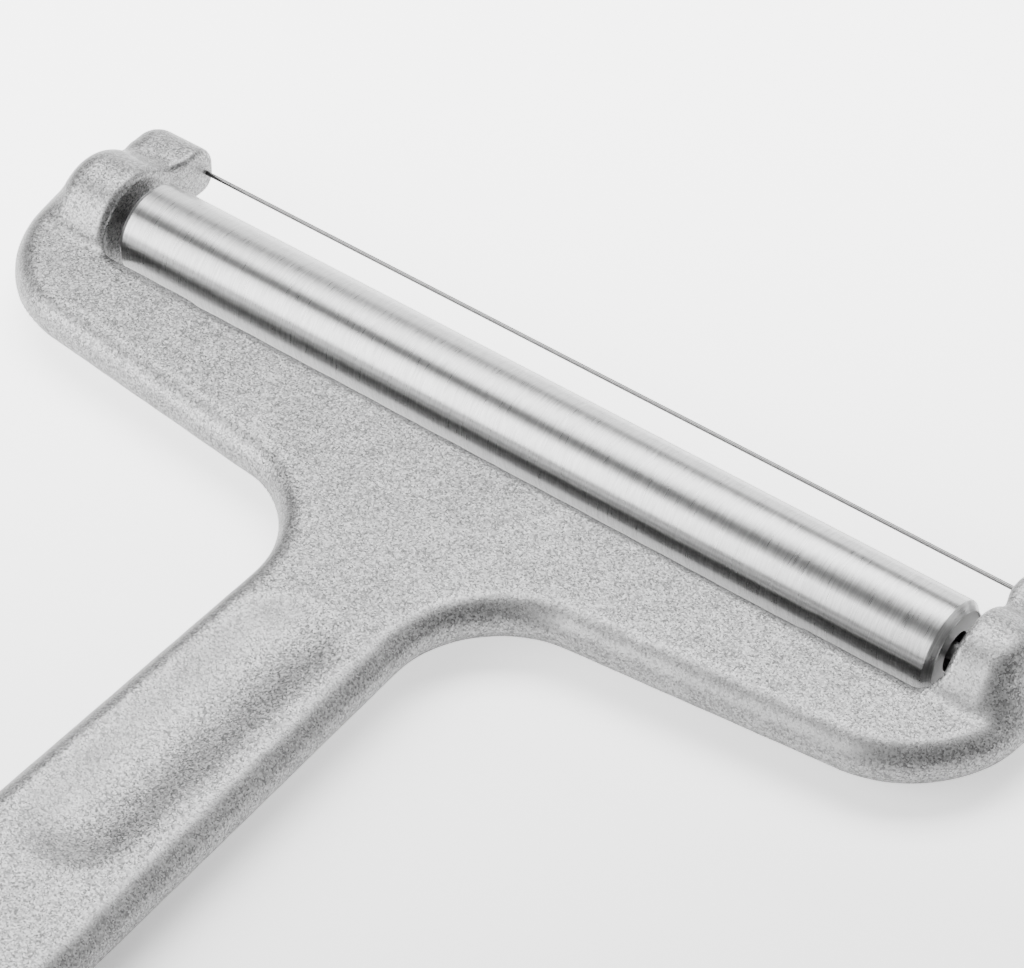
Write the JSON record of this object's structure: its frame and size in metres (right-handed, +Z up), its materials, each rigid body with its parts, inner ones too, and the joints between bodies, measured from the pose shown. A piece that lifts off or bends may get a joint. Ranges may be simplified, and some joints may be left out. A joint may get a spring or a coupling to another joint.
{
  "type": "roller cheese slicer",
  "caption": "T-shaped hand cheese slicer: cast metal frame with a free-turning steel roller held between two arms and a taut cutting wire in front of it.",
  "frame": {"origin": "middle of the plan box, at the level of the boss feet and the handle heel on which the tool rests", "axes": "+X along the roller, +Y from the end of the handle towards the cutting wire, +Z up out of the face that carries the thumb groove"},
  "size_m": [0.126, 0.195, 0.0122],
  "materials": {
    "cast_aluminium": "tumbled cast, fine sparkling grain",
    "roller_steel": "brushed round the roller",
    "plug_steel": "turned",
    "axle_steel": "drawn",
    "wire_steel": "drawn stainless wire",
    "nipple_metal": "plated"
  },
  "bodies": {
    "frame": {"frame_casting": "cast_aluminium", "axle_rod": "axle_steel", "cutting_wire": "wire_steel", "wire_nipple_left": "nipple_metal", "wire_nipple_right": "nipple_metal"},
    "roller": {"roller_tube": "roller_steel", "roller_plug_left": "plug_steel", "roller_plug_right": "plug_steel"}
  },
  "joints": [
    {"name": "roller_spin", "type": "hinge", "parent": "frame", "child": "roller", "pos_m": [0, 0.0855, 0.0061], "axis": [1, 0, 0], "continuous": true}
  ]
}
